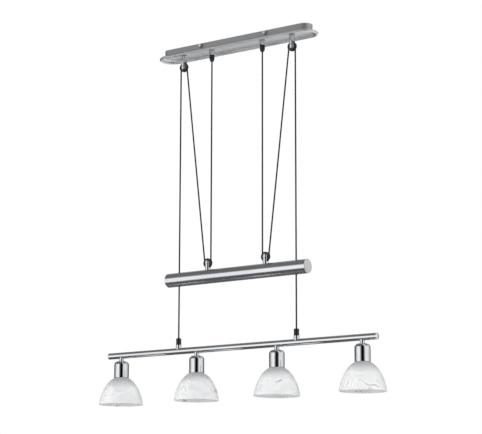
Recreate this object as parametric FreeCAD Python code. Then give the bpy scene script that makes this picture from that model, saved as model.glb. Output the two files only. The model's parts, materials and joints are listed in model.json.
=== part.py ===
"""Rise and fall pendant: four glass shades on a bar, hung on two cables with a counterweight.

Millimetres. The origin is the middle of the ceiling face, +Z is up, and X runs along the bar.
Each cable leaves a gland under the canopy, goes down round a pulley on the counterweight,
up over a pulley under the canopy, and down through the counterweight to the lamp bar.
"""

import FreeCAD
import Part
import math
import os

V = FreeCAD.Vector
X_AXIS = V(1, 0, 0)
Y_AXIS = V(0, 1, 0)
Z_AXIS = V(0, 0, 1)
SIDES = {"left": -1, "right": 1}

# ---------------------------------------------------------------- driving dimensions
# cable and pulley wheels
CABLE_R = 1.9
PITCH_R = 9.2            # from a wheel's axis to the middle of the cable
WHEEL_R = 11.7
WHEEL_WIDTH = 7.2
GROOVE_GAP = 0.35        # between the cable and its groove
GROOVE_SLOPE = 20.0      # degrees that each groove wall leans outwards
WHEEL_DISH_DEPTH = 1.0
WHEEL_DISH_WEB = 0.9     # between the dish and the bottom of the groove
WHEEL_DRAFT = 0.3        # by which the dish narrows
WHEEL_EDGE = 0.2
WHEEL_HUB_R = 3.6
AXLE_R = 2.0
AXLE_PLAY = 0.05         # radial
CABLE_POCKET_R = 2.3     # bore that a cable goes into
CABLE_POCKET_DEPTH = 10.0

# heights of what is seen, below the ceiling
CANOPY_AXLE_Z = -48.6
WEIGHT_AXIS_Z = -602.0
BAR_AXIS_Z = -783.0
CUP_TOP_Z = -798.0
CUP_END_Z = -840.0
SHADE_RIM_Z = -909.0

# places along the bar
OUTER_CABLE_X = 175.3    # long runs, down to the lamp bar
INNER_CABLE_X = 77.5     # runs to the canopy glands
LAMP_PITCH = 238.0
LAMP_COUNT = 4

# canopy
CANOPY_END_X = 203.0     # centre of each round end
HOUSING_R = 19.5
HOUSING_DROP = 16.0
HOUSING_WALL = 1.2
HOUSING_LIP = 5.0
PLATE_SHEET = 1.2
RIM_R = 3.5
RIM_PATH_R = 30.0        # middle of the rolled rim, from the centre line
RIM_Z = -21.9
SHOULDER_R = 22.0        # where the plate starts to turn down
RIM_ROOT = 135.0         # degrees round the rim at which the sheet meets it
RIM_TUCK = -160.0        # degrees round the rim at which its roll ends
BEAD_SAG = 0.9           # how far the sheet has dropped half way to the rim
BRACKET_LENGTH = 260.0
BRACKET_WIDTH = 35.2
BRACKET_DEPTH = 12.0
BRACKET_SHEET = 1.5
SLOT_PITCH = 120.0
SLOT_WIDTH = 5.0
SLOT_LENGTH = 18.0
CABLE_ENTRY_X = 25.0
CABLE_ENTRY_R = 8.0
SIDE_SCREW_X = 98.3
SIDE_SCREW_Z = -7.0
SIDE_SCREW_HEAD_R = 4.5
SIDE_SCREW_HEAD = 6.5
SIDE_SCREW_DOME = 1.2
SIDE_SCREW_R = 1.75
SIDE_SCREW_END_Y = 13.6  # its tip, from the centre line
SIDE_TAPPED_R = 1.8
SIDE_CLEAR_R = 2.2
TERMINAL_LENGTH = 36.0
TERMINAL_WIDTH = 15.0
TERMINAL_HEIGHT = 12.0
TERMINAL_POLES = 3
TERMINAL_WAY_R = 1.7
TERMINAL_WAY_RISE = 4.5
TERMINAL_SCREW_R = 1.8
TERMINAL_SCREW_Y = 3.5
TERMINAL_GROOVE = 1.2
TERMINAL_GROOVE_DEPTH = 4.0
POST_NUT = (10.0, 5.0)   # across flats, height
GLAND_NUT = (14.0, 4.0)
HOLE_PLAY = 0.1          # radial, between a hole in sheet metal and what goes through it
STUD_REACH = 7.0         # above the cover plate's upper side

# pulley posts
POST_R = 7.0
SLOT_GAP = 8.0           # between a post's two ears
EAR_REACH = 5.5          # an ear's tip, past the axle
EAR_CORNER_R = 4.5
WHEEL_HEADROOM = 0.8     # between a wheel and the floor of its slot
POST_STUD_R = 3.0
AXLE_HEAD_R = 3.3
AXLE_HEAD = 1.2
AXLE_HEAD_BEVEL = 0.9
AXLE_TAIL_SHARE = 0.8    # the riveted tail, beside the head
SPOT_FACE_Y = 6.3        # flats for the axle's head and tail
SPOT_FACE_R = 3.5

# cable glands
FERRULE_R = 7.2
FERRULE_LENGTH = 12.5
FOOT_R = 6.8
FOOT_LENGTH = 7.5
GLAND_R = 6.5
GLAND_LENGTH = 17.0
GLAND_TIP_R = 4.8
GLAND_TAPER = 6.0
BAR_GLAND_TIP_R = 5.9
BAR_GLAND_TAPER = 1.2
GLAND_CHAMFER = 0.8
GLAND_EDGE = 0.6
GLAND_SPIGOT_R = 3.9
GLAND_SPIGOT = 5.0
GLAND_SOCKET_R = 4.0
GLAND_SOCKET = 6.0
GLAND_TAIL_R = 5.0
BAR_TAIL_R = 4.0
BAR_TAIL = 4.0           # inside the lamp bar

# counterweight
WEIGHT_LENGTH = 418.6
WEIGHT_R = 17.5
WEIGHT_WALL = 2.0
WEIGHT_CAP = 2.8
WEIGHT_PLUG = 12.0
WEIGHT_PLUG_WALL = 2.0
WEIGHT_CAP_CHAMFER = 1.0
WEIGHT_POST_RISE = 17.0  # axle above the tube's top
GUIDE_R = 3.5
GUIDE_BORE_R = 2.4
GUIDE_PROUD = 0.3
GUIDE_PLAY = 0.05
BALLAST_R = 15.3
WEIGHT_STUD_R = 2.5
WEIGHT_STUD_DEPTH = 12.0
SADDLE_DEPTH = 3.0       # a post's foot, below the tube's top

# lamp bar
BAR_LENGTH = 799.0
BAR_R = 8.0
BAR_WALL = 1.2
BAR_CAP = 3.5
BAR_CAP_EDGE = 0.8       # straight side, below the dome
BAR_PLUG = 8.0
NECK_R = 6.0
NIPPLE_R = 4.0
NIPPLE_BORE_R = 2.6
NIPPLE_RISE = 4.0        # inside the lamp bar
NIPPLE_DROP = 9.0        # inside the cup
PLUG_PLAY = 0.1

# lamp heads, all turned about their own upright axis
CUP_R = 18.7
CUP_WALL = 1.0
CUP_SHOULDER_R = 9.5
HOLDER_R = 13.0
HOLDER_SHOULDER = (5.0, 6.0)    # across, down
HOLDER_SKIRT_R = 14.0
HOLDER_SKIRT_CHAMFER = 1.0
HOLDER_FLANGE_R = 16.5
HOLDER_FLANGE = 2.0
HOLDER_END_Z = -856.0
SOCKET_R = 7.0           # E14
SOCKET_DEPTH = 25.0
SHADE_RING_R = 17.0
SHADE_RING_HEIGHT = 6.0
SHADE_RING_NOTCHES = 6
SHADE_RING_NOTCH_R = 2.0
SHADE_RING_NOTCH_OUT = 0.8      # a notch's centre, beyond the ring
SHADE_RING_COLLAR = 1.5         # left whole above the notches
BELL_R = 55.8            # outer radius that the lower arc would reach at its widest
BELL_LOW_R = 100.4       # radius of the bell's lower arc
BELL_LOW_DROP = 7.25     # that arc's centre, below the rim
BELL_HIGH_R = 54.0       # radius of its upper arc
BELL_TURN = 37.5         # degrees above level at which one arc takes over from the other
FLARE_R = 40.0
FLARE_START = 8.5        # degrees above level at which the bell starts to flare
GLASS = 3.0
SHADE_SEAT_Z = -838.6    # the glass's flat top, under the lampholder's flange
SHADE_NECK_GLASS = 4.6
SHADE_HOLE_R = 14.6
SHADE_NECK_R = 17.2
SHADE_NECK_CHAMFER = 0.8
SHADE_RING_SEAT_R = 18.2

# densities in grams per cubic millimetre, for balancing the counterweight
STEEL = 7.85e-3
GLASS_DENSITY = 2.5e-3
PLASTIC = 1.1e-3


# ---------------------------------------------------------------- worked out from them
PLATE_UNDER_Z = -HOUSING_DROP - PLATE_SHEET
CANOPY_PULLEY_X = OUTER_CABLE_X - PITCH_R
WEIGHT_PULLEY_X = INNER_CABLE_X + PITCH_R
STUD_TOP_Z = -HOUSING_DROP + STUD_REACH
WEIGHT_TOP_Z = WEIGHT_AXIS_Z + WEIGHT_R
WEIGHT_AXLE_Z = WEIGHT_TOP_Z + WEIGHT_POST_RISE
BAR_TOP_Z = BAR_AXIS_Z + BAR_R
BAR_UNDER_Z = BAR_AXIS_Z - BAR_R
CANOPY_GLAND_END_Z = PLATE_UNDER_Z - FERRULE_LENGTH - GLAND_LENGTH
BAR_GLAND_END_Z = BAR_TOP_Z + FOOT_LENGTH + GLAND_LENGTH
LAMP_X = [(i - (LAMP_COUNT - 1) / 2) * LAMP_PITCH for i in range(LAMP_COUNT)]


# ---------------------------------------------------------------- helpers
def cylinder(radius, length, base, axis=Z_AXIS):
    return Part.makeCylinder(radius, length, base, axis)


def upright(radius, low, high, x=0.0, y=0.0):
    """A vertical cylinder between two heights."""
    return cylinder(radius, high - low, V(x, y, low))


def along_x(radius, start, end, z):
    return cylinder(radius, end - start, V(start, 0, z), X_AXIS)


def slab(x_centre, half_x, half_y, low, high):
    """A box centred on the bar's plane."""
    corner = V(x_centre - half_x, -half_y, low)
    return Part.makeBox(2 * half_x, 2 * half_y, high - low, corner)


def line(a, b):
    return Part.LineSegment(V(*a), V(*b)).toShape()


def arc(a, middle, b):
    return Part.Arc(V(*a), V(*middle), V(*b)).toShape()


def turned(edges, degrees=360.0):
    """A solid of revolution about Z, from a closed outline in the XZ plane."""
    face = Part.Face(Part.Wire(edges))
    return face.revolve(V(0, 0, 0), Z_AXIS, degrees)


def outline(points):
    """Edges of a closed outline: (x, z) corners, joined by straight lines."""
    pairs = zip(points, points[1:] + points[:1])
    return [line((a[0], 0, a[1]), (b[0], 0, b[1])) for a, b in pairs]


def moved(shape, x=0.0, y=0.0, z=0.0):
    copy = shape.copy()
    copy.translate(V(x, y, z))
    return copy


def mirrored(shape, side):
    """The shape itself on the right, its mirror image on the left."""
    if side > 0:
        return shape
    return shape.mirror(V(0, 0, 0), X_AXIS)


def stadium(radius, low, high):
    """An upright oblong block with round ends on the canopy's end centres."""
    middle = slab(0, CANOPY_END_X, radius, low, high)
    ends = [upright(radius, low, high, side * CANOPY_END_X) for side in SIDES.values()]
    return middle.fuse(ends).removeSplitter()


def hexagon(across_flats, low, high, x):
    """A hexagonal prism."""
    corner_r = across_flats / math.sqrt(3)
    corners = []
    for i in range(7):
        angle = math.radians(60 * i)
        corners.append(V(x + corner_r * math.cos(angle), corner_r * math.sin(angle), low))
    return Part.Face(Part.makePolygon(corners)).extrude(V(0, 0, high - low))


def chamfered_rod(radius, low, high, chamfer, x=0.0):
    """A vertical rod with both ends chamfered."""
    points = [
        (0, low),
        (radius - chamfer, low),
        (radius, low + chamfer),
        (radius, high - chamfer),
        (radius - chamfer, high),
        (0, high),
    ]
    return moved(turned(outline(points)), x)


# ---------------------------------------------------------------- canopy
def ceiling_bracket():
    """A shallow channel, open downwards, with slots, a cable entry and tapped side holes."""
    half = BRACKET_LENGTH / 2
    half_width = BRACKET_WIDTH / 2
    bracket = slab(0, half, half_width, -BRACKET_DEPTH, 0)
    inner = half_width - BRACKET_SHEET
    bracket = bracket.cut(slab(0, half + 1, inner, -BRACKET_DEPTH - 1, -BRACKET_SHEET))
    for side in SIDES.values():
        centre = side * SLOT_PITCH / 2
        reach = (SLOT_LENGTH - SLOT_WIDTH) / 2
        slot = slab(centre, reach, SLOT_WIDTH / 2, -BRACKET_SHEET - 1, 1)
        for end in SIDES.values():
            slot = slot.fuse(
                upright(SLOT_WIDTH / 2, -BRACKET_SHEET - 1, 1, centre + end * reach)
            )
        bracket = bracket.cut(slot)
    bracket = bracket.cut(upright(CABLE_ENTRY_R, -BRACKET_SHEET - 1, 1, CABLE_ENTRY_X))
    return bracket.cut(side_bores(SIDE_TAPPED_R, half_width + 1))


def side_bores(radius, reach):
    """Bores across the canopy on the side screws' two axes."""
    bores = []
    for side in SIDES.values():
        start = V(side * SIDE_SCREW_X, -reach, SIDE_SCREW_Z)
        bores.append(cylinder(radius, 2 * reach, start, Y_AXIS))
    return bores


def canopy_housing():
    """The oblong wall, with a lip turned in at the bottom for the cover plate."""
    wall = stadium(HOUSING_R, -HOUSING_DROP, 0)
    inner = HOUSING_R - HOUSING_WALL
    wall = wall.cut(stadium(inner, -HOUSING_DROP + PLATE_SHEET, 1))
    wall = wall.cut(stadium(HOUSING_R - HOUSING_LIP, -HOUSING_DROP - 1, 1))
    return wall.cut(side_bores(SIDE_CLEAR_R, HOUSING_R + 1))


def plate_half_section():
    """Outline of the cover plate from its centre line out to the rolled rim."""
    top = -HOUSING_DROP
    under = PLATE_UNDER_Z

    def on_rim(degrees):
        angle = math.radians(degrees)
        return (RIM_PATH_R + RIM_R * math.cos(angle), 0, RIM_Z + RIM_R * math.sin(angle))

    root = on_rim(RIM_ROOT)
    tuck = on_rim(RIM_TUCK)
    outermost = on_rim((RIM_ROOT - 45) / 2)
    lowest = on_rim((RIM_TUCK - 45) / 2)
    shoulder = (SHOULDER_R, 0, top)
    cove = (SHOULDER_R - PLATE_SHEET, 0, under)
    upper_turn = ((shoulder[0] + root[0]) / 2, 0, top - BEAD_SAG)
    lower_turn = ((cove[0] + tuck[0]) / 2 + BEAD_SAG, 0, (under + tuck[2]) / 2 + BEAD_SAG)
    return [
        line((0, 0, under), (0, 0, top)),
        line((0, 0, top), shoulder),
        arc(shoulder, upper_turn, root),
        arc(root, outermost, on_rim(-45)),
        arc(on_rim(-45), lowest, tuck),
        arc(tuck, lower_turn, cove),
        line(cove, (0, 0, under)),
    ]


def canopy_plate():
    """The cover plate: its section runs straight along both sides and turns round both ends."""
    end = turned(plate_half_section(), 180)
    end.rotate(V(0, 0, 0), Z_AXIS, -90)
    right = moved(end, CANOPY_END_X)
    half = Part.Face(Part.Wire(plate_half_section()))
    half.rotate(V(0, 0, 0), Z_AXIS, 90)
    far = moved(half.extrude(V(2 * CANOPY_END_X, 0, 0)), -CANOPY_END_X)
    near = far.mirror(V(0, 0, 0), Y_AXIS)
    plate = far.fuse([near, right, mirrored(right, -1)]).removeSplitter()
    for side in SIDES.values():
        plate = plate.cut(upright(POST_STUD_R + HOLE_PLAY, RIM_Z, 0, side * CANOPY_PULLEY_X))
        plate = plate.cut(upright(GLAND_TAIL_R + HOLE_PLAY, RIM_Z, 0, side * INNER_CABLE_X))
    return plate


def side_screw():
    """A screw with a round bevelled head, pointing along +Y through the housing's near wall."""
    outwards = -Y_AXIS
    seat = V(0, -HOUSING_R, 0)
    bevel_start = V(0, -HOUSING_R - SIDE_SCREW_HEAD + SIDE_SCREW_DOME, 0)
    top_r = SIDE_SCREW_HEAD_R - SIDE_SCREW_DOME
    shank = cylinder(SIDE_SCREW_R, HOUSING_R - SIDE_SCREW_END_Y, seat, Y_AXIS)
    head = cylinder(SIDE_SCREW_HEAD_R, SIDE_SCREW_HEAD - SIDE_SCREW_DOME, seat, outwards)
    bevel = Part.makeCone(SIDE_SCREW_HEAD_R, top_r, SIDE_SCREW_DOME, bevel_start, outwards)
    return shank.fuse([head, bevel]).removeSplitter()


def side_screws():
    """Two screws on each long side of the housing."""
    near = [moved(side_screw(), side * SIDE_SCREW_X, 0, SIDE_SCREW_Z) for side in SIDES.values()]
    far = [screw.mirror(V(0, 0, 0), Y_AXIS) for screw in near]
    return Part.makeCompound(near + far)


def terminal_block():
    """A moulded block with a row of clamps: a wire way and two screw wells to each pole."""
    low = -HOUSING_DROP
    high = low + TERMINAL_HEIGHT
    way_z = low + TERMINAL_WAY_RISE
    block = slab(0, TERMINAL_LENGTH / 2, TERMINAL_WIDTH / 2, low, high)
    pitch = TERMINAL_LENGTH / TERMINAL_POLES
    for pole in range(TERMINAL_POLES):
        x = (pole - (TERMINAL_POLES - 1) / 2) * pitch
        way_start = V(x, -TERMINAL_WIDTH, way_z)
        block = block.cut(cylinder(TERMINAL_WAY_R, 2 * TERMINAL_WIDTH, way_start, Y_AXIS))
        for way in SIDES.values():
            block = block.cut(upright(TERMINAL_SCREW_R, way_z, 0, x, way * TERMINAL_SCREW_Y))
        if pole:
            floor_z = high - TERMINAL_GROOVE_DEPTH
            groove = slab(x - pitch / 2, TERMINAL_GROOVE / 2, TERMINAL_WIDTH, floor_z, 0)
            block = block.cut(groove)
    return block


def plate_nuts(size, stud_r, x):
    """Two nuts that stand on the cover plate's upper side."""
    across_flats, height = size
    low = -HOUSING_DROP
    high = low + height
    nuts = []
    for side in SIDES.values():
        nut = hexagon(across_flats, low, high, side * x)
        nuts.append(nut.cut(upright(stud_r + HOLE_PLAY, low - 1, high + 1, side * x)))
    return Part.makeCompound(nuts)


# ---------------------------------------------------------------- pulleys
def pulley_wheel(x, z):
    """A grooved wheel turned about Y, with dished faces and a hub."""
    half = WHEEL_WIDTH / 2
    groove_r = CABLE_R + GROOVE_GAP
    slope = math.radians(GROOVE_SLOPE)
    # where the round bottom of the groove meets its leaning walls
    touch_r = PITCH_R - groove_r * math.sin(slope)
    touch_h = groove_r * math.cos(slope)
    mouth_h = touch_h + (WHEEL_R - touch_r) * math.tan(slope)
    dish = half - WHEEL_DISH_DEPTH
    bore = AXLE_R + AXLE_PLAY
    dish_outer = PITCH_R - groove_r - WHEEL_DISH_WEB
    side = [
        (bore, half),
        (WHEEL_HUB_R, half),
        (WHEEL_HUB_R + WHEEL_DRAFT, dish),
        (dish_outer - WHEEL_DRAFT, dish),
        (dish_outer, half),
        (WHEEL_R - WHEEL_EDGE, half),
        (WHEEL_R, half - WHEEL_EDGE),
        (WHEEL_R, mouth_h),
        (touch_r, touch_h),
    ]
    other = [(r, -h) for r, h in reversed(side)]
    edges = []
    for chain in (side, other):
        edges += [line((a[0], 0, a[1]), (b[0], 0, b[1])) for a, b in zip(chain, chain[1:])]
    edges.append(arc((touch_r, 0, touch_h), (PITCH_R - groove_r, 0, 0), (touch_r, 0, -touch_h)))
    edges.append(line((bore, 0, -half), (bore, 0, half)))
    wheel = turned(Part.__sortEdges__(edges))
    wheel.rotate(V(0, 0, 0), X_AXIS, 90)
    return moved(wheel, x, 0, z)


def post_outline(x, low, high, round_low):
    """An upright block as wide as a post, with two corners rounded at its ear end."""
    block = slab(x, POST_R, POST_R + 1, low, high)
    ear_z = low if round_low else high
    corners = []
    for edge in block.Edges:
        middle = edge.CenterOfMass
        lies_along_y = abs(edge.Vertexes[0].Y - edge.Vertexes[-1].Y) > 1
        if lies_along_y and abs(middle.z - ear_z) < 1e-6:
            corners.append(edge)
    return block.makeFillet(EAR_CORNER_R, corners)


def slotted_post(x, base_z, axle_z):
    """A turned post with a slot for the wheel, an axle hole and flats round the hole."""
    down = axle_z < base_z
    way = -1 if down else 1
    tip_z = axle_z + way * EAR_REACH
    low = min(base_z, tip_z)
    high = max(base_z, tip_z)
    post = upright(POST_R, low, high, x).common(post_outline(x, low, high, down))
    floor_z = axle_z - way * (WHEEL_R + WHEEL_HEADROOM)
    slot_low = min(floor_z, tip_z + way)
    slot_high = max(floor_z, tip_z + way)
    post = post.cut(slab(x, POST_R + 1, SLOT_GAP / 2, slot_low, slot_high))
    bore_start = V(x, -POST_R, axle_z)
    post = post.cut(cylinder(AXLE_R + AXLE_PLAY, 2 * POST_R, bore_start, Y_AXIS))
    for y_way in SIDES.values():
        start = V(x, y_way * SPOT_FACE_Y, axle_z)
        post = post.cut(cylinder(SPOT_FACE_R, POST_R, start, V(0, y_way, 0)))
    return post


def pulley_axle(x, z):
    """A pin with a domed head at the near ear and a smaller riveted tail at the far one."""
    pin = cylinder(AXLE_R, 2 * SPOT_FACE_Y, V(x, -SPOT_FACE_Y, z), Y_AXIS)
    for way, share in ((-1, 1.0), (1, AXLE_TAIL_SHARE)):
        radius = AXLE_HEAD_R * share
        start = V(x, way * SPOT_FACE_Y, z)
        head = Part.makeCone(radius, radius - AXLE_HEAD_BEVEL, AXLE_HEAD * share, start, V(0, way, 0))
        pin = pin.fuse(head)
    return pin.removeSplitter()


def canopy_post(side):
    """A post under the canopy, with the stud that goes up through the plate."""
    x = side * CANOPY_PULLEY_X
    post = slotted_post(x, PLATE_UNDER_Z, CANOPY_AXLE_Z)
    return post.fuse(upright(POST_STUD_R, PLATE_UNDER_Z, STUD_TOP_Z, x))


def weight_post(side):
    """A post on the counterweight: its foot is cut to the tube's round, its stud holds the ballast."""
    x = side * WEIGHT_PULLEY_X
    foot_z = WEIGHT_TOP_Z - SADDLE_DEPTH
    post = slotted_post(x, foot_z, WEIGHT_AXLE_Z)
    post = post.cut(along_x(WEIGHT_R, x - POST_R, x + POST_R, WEIGHT_AXIS_Z))
    stud_low = WEIGHT_TOP_Z - WEIGHT_STUD_DEPTH
    return post.fuse(upright(WEIGHT_STUD_R, stud_low, WEIGHT_TOP_Z + 1, x)).removeSplitter()


# ---------------------------------------------------------------- cable glands
def gland_body(x, base_z, way, tip_r, taper):
    """A black clamp body: a rod with a tapered tip, a spigot and a pocket for the cable."""
    points = [
        (0, -GLAND_SPIGOT),
        (GLAND_SPIGOT_R, -GLAND_SPIGOT),
        (GLAND_SPIGOT_R, 0),
        (GLAND_R - GLAND_EDGE, 0),
        (GLAND_R, GLAND_EDGE),
        (GLAND_R, GLAND_LENGTH - taper),
        (tip_r, GLAND_LENGTH - GLAND_CHAMFER),
        (tip_r - GLAND_CHAMFER, GLAND_LENGTH),
        (CABLE_POCKET_R, GLAND_LENGTH),
        (CABLE_POCKET_R, GLAND_LENGTH - CABLE_POCKET_DEPTH),
        (0, GLAND_LENGTH - CABLE_POCKET_DEPTH),
    ]
    body = turned(outline(points))
    if way < 0:
        body = body.mirror(V(0, 0, 0), Z_AXIS)
    return moved(body, x, 0, base_z)


def canopy_ferrule(side):
    """A chromed sleeve under the canopy, with the tail that goes up through the plate."""
    x = side * INNER_CABLE_X
    low = PLATE_UNDER_Z - FERRULE_LENGTH
    sleeve = chamfered_rod(FERRULE_R, low, PLATE_UNDER_Z, GLAND_EDGE, x)
    sleeve = sleeve.fuse(upright(GLAND_TAIL_R, PLATE_UNDER_Z - 1, STUD_TOP_Z, x)).removeSplitter()
    return sleeve.cut(upright(GLAND_SOCKET_R, low - 1, low + GLAND_SOCKET, x))


def bar_foot(side):
    """A chromed foot on the lamp bar: its seat is cut to the bar's round, its tail goes inside."""
    x = side * OUTER_CABLE_X
    top = BAR_TOP_Z + FOOT_LENGTH
    foot = upright(FOOT_R, BAR_AXIS_Z, top, x)
    foot = foot.cut(along_x(BAR_R, x - FOOT_R, x + FOOT_R, BAR_AXIS_Z))
    foot = foot.fuse(upright(BAR_TAIL_R, BAR_TOP_Z - BAR_TAIL, top, x)).removeSplitter()
    return foot.cut(upright(GLAND_SOCKET_R, top - GLAND_SOCKET, top + 1, x))


# ---------------------------------------------------------------- cables
def wheel_axis(side, high):
    """The (x, z) of a wheel's axis, under the canopy or on the counterweight."""
    if high:
        return (side * CANOPY_PULLEY_X, CANOPY_AXLE_Z)
    return (side * WEIGHT_PULLEY_X, WEIGHT_AXLE_Z)


def crossing_tangent():
    """The right-hand diagonal's two ends, and its angle from upright in degrees.

    It leaves the canopy wheel on the inner side and meets the counterweight's on the outer side.
    """
    top_x, top_z = wheel_axis(1, True)
    low_x, low_z = wheel_axis(1, False)
    run_x = low_x - top_x
    run_z = low_z - top_z
    distance = math.hypot(run_x, run_z)
    lean = math.atan2(-run_x, -run_z) - math.asin(2 * PITCH_R / distance)
    normal = (-math.cos(lean), math.sin(lean))
    start = (top_x + PITCH_R * normal[0], top_z + PITCH_R * normal[1])
    end = (low_x - PITCH_R * normal[0], low_z - PITCH_R * normal[1])
    return start, end, math.degrees(lean)


def straight_cable(start, end):
    """A taut stretch between two (x, z) points."""
    a = V(start[0], 0, start[1])
    b = V(end[0], 0, end[1])
    return cylinder(CABLE_R, (b - a).Length, a, b - a)


def cable_bend(side, high):
    """The stretch that lies in a wheel's groove, as tight as the wheel's pitch circle."""
    sweep = 180 - DIAGONAL_LEAN
    start = V(PITCH_R, 0, 0)
    ring = Part.Face(Part.Wire(Part.makeCircle(CABLE_R, start, Z_AXIS)))
    x, z = wheel_axis(1, high)
    if high:
        bend = ring.revolve(V(0, 0, 0), -Y_AXIS, sweep)
    else:
        bend = ring.revolve(V(0, 0, 0), Y_AXIS, sweep)
        bend = bend.mirror(V(0, 0, 0), X_AXIS)
    return mirrored(moved(bend, x, 0, z), side)


def cable_nodes(side, name):
    """The five stretches of one cable, from the canopy gland to the lamp bar."""
    pocket_top = CANOPY_GLAND_END_Z + CABLE_POCKET_DEPTH
    inner_x = side * INNER_CABLE_X
    outer_x = side * OUTER_CABLE_X
    foot = BAR_GLAND_END_Z - CABLE_POCKET_DEPTH
    diagonal = [(side * x, z) for x, z in (DIAGONAL_START, DIAGONAL_END)]
    runs = {
        "inner_run": ((inner_x, pocket_top), (inner_x, WEIGHT_AXLE_Z)),
        "diagonal_run": diagonal,
        "lamp_run": ((outer_x, CANOPY_AXLE_Z), (outer_x, foot)),
    }
    nodes = {f"cable_{name}_{key}": straight_cable(*ends) for key, ends in runs.items()}
    for key, ends in runs.items():
        length = math.dist(*ends)
        print(f"cable {name} {key}: {length:.1f} mm straight")
    nodes[f"cable_{name}_counterweight_bend"] = cable_bend(side, False)
    nodes[f"cable_{name}_canopy_bend"] = cable_bend(side, True)
    bend = PITCH_R * math.radians(180 - DIAGONAL_LEAN)
    total = sum(math.dist(*ends) for ends in runs.values()) + 2 * bend
    print(f"cable {name}: bends of radius {PITCH_R} mm, {bend:.1f} mm each; {total:.0f} mm in all")
    return nodes


DIAGONAL_START, DIAGONAL_END, DIAGONAL_LEAN = crossing_tangent()


# ---------------------------------------------------------------- counterweight
def weight_tube():
    half = WEIGHT_LENGTH / 2 - WEIGHT_CAP
    tube = along_x(WEIGHT_R, -half, half, WEIGHT_AXIS_Z)
    tube = tube.cut(along_x(WEIGHT_R - WEIGHT_WALL, -half - 1, half + 1, WEIGHT_AXIS_Z))
    for side in SIDES.values():
        low = WEIGHT_AXIS_Z - WEIGHT_R - 1
        high = WEIGHT_TOP_Z + 1
        stud_x = side * WEIGHT_PULLEY_X
        tube = tube.cut(upright(GUIDE_R + GUIDE_PLAY, low, high, side * OUTER_CABLE_X))
        tube = tube.cut(upright(WEIGHT_STUD_R + HOLE_PLAY, WEIGHT_AXIS_Z, high, stud_x))
    return tube


def weight_cap(side):
    """A flat end disc with a chamfered edge and a hollow plug."""
    plug_r = WEIGHT_R - WEIGHT_WALL - PLUG_PLAY
    points = [
        (0, 0),
        (plug_r - WEIGHT_PLUG_WALL, 0),
        (plug_r - WEIGHT_PLUG_WALL, -WEIGHT_PLUG),
        (plug_r, -WEIGHT_PLUG),
        (plug_r, 0),
        (WEIGHT_R, 0),
        (WEIGHT_R, WEIGHT_CAP - WEIGHT_CAP_CHAMFER),
        (WEIGHT_R - WEIGHT_CAP_CHAMFER, WEIGHT_CAP),
        (0, WEIGHT_CAP),
    ]
    cap = turned(outline(points))
    cap.rotate(V(0, 0, 0), Y_AXIS, 90)
    cap = moved(cap, WEIGHT_LENGTH / 2 - WEIGHT_CAP, 0, WEIGHT_AXIS_Z)
    return mirrored(cap, side)


def cable_guide(side):
    """A sleeve right through the counterweight, its ends cut to the tube's round."""
    x = side * OUTER_CABLE_X
    low = WEIGHT_AXIS_Z - WEIGHT_R - 1
    high = WEIGHT_TOP_Z + 1
    sleeve = upright(GUIDE_R, low, high, x).cut(upright(GUIDE_BORE_R, low - 1, high + 1, x))
    return sleeve.common(along_x(WEIGHT_R + GUIDE_PROUD, x - GUIDE_R, x + GUIDE_R, WEIGHT_AXIS_Z))


def ballast_bar(length):
    """A round bar with two tapped holes for the posts' studs."""
    bar = along_x(BALLAST_R, -length / 2, length / 2, WEIGHT_AXIS_Z)
    for side in SIDES.values():
        low = WEIGHT_TOP_Z - WEIGHT_STUD_DEPTH - 1
        hole = upright(WEIGHT_STUD_R + GUIDE_PLAY, low, WEIGHT_TOP_Z, side * WEIGHT_PULLEY_X)
        bar = bar.cut(hole)
    return bar


# ---------------------------------------------------------------- lamp bar
def bar_tube():
    half = BAR_LENGTH / 2 - BAR_CAP
    tube = along_x(BAR_R, -half, half, BAR_AXIS_Z)
    tube = tube.cut(along_x(BAR_R - BAR_WALL, -half - 1, half + 1, BAR_AXIS_Z))
    for side in SIDES.values():
        hole = upright(BAR_TAIL_R + HOLE_PLAY, BAR_AXIS_Z, BAR_TOP_Z + 1, side * OUTER_CABLE_X)
        tube = tube.cut(hole)
    for x in LAMP_X:
        tube = tube.cut(upright(NIPPLE_R + HOLE_PLAY, BAR_UNDER_Z - 1, BAR_AXIS_Z, x))
    return tube


def bar_cap(side):
    """A domed end cap with a plug."""
    plug_r = BAR_R - BAR_WALL - PLUG_PLAY
    edge = BAR_CAP_EDGE
    dome = BAR_CAP - edge
    dome_r = (BAR_R ** 2 + dome ** 2) / (2 * dome)
    half_turn = math.asin(BAR_R / dome_r) / 2
    middle = (dome_r * math.sin(half_turn), 0, BAR_CAP - dome_r * (1 - math.cos(half_turn)))
    edges = [
        line((0, 0, -BAR_PLUG), (plug_r, 0, -BAR_PLUG)),
        line((plug_r, 0, -BAR_PLUG), (plug_r, 0, 0)),
        line((plug_r, 0, 0), (BAR_R, 0, 0)),
        line((BAR_R, 0, 0), (BAR_R, 0, edge)),
        arc((BAR_R, 0, edge), middle, (0, 0, BAR_CAP)),
        line((0, 0, BAR_CAP), (0, 0, -BAR_PLUG)),
    ]
    cap = turned(edges)
    cap.rotate(V(0, 0, 0), Y_AXIS, 90)
    return mirrored(moved(cap, BAR_LENGTH / 2 - BAR_CAP, 0, BAR_AXIS_Z), side)


def lamp_neck(x):
    """A collar between the bar and a cup, on the nipple that carries the lampholder."""
    collar = upright(NECK_R, CUP_TOP_Z, BAR_AXIS_Z, x)
    collar = collar.cut(along_x(BAR_R, x - NECK_R, x + NECK_R, BAR_AXIS_Z))
    low = CUP_TOP_Z - NIPPLE_DROP
    nipple = upright(NIPPLE_R, low, BAR_UNDER_Z + NIPPLE_RISE, x)
    neck = collar.fuse(nipple).removeSplitter()
    return neck.cut(upright(NIPPLE_BORE_R, low - 1, BAR_AXIS_Z, x))


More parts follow.
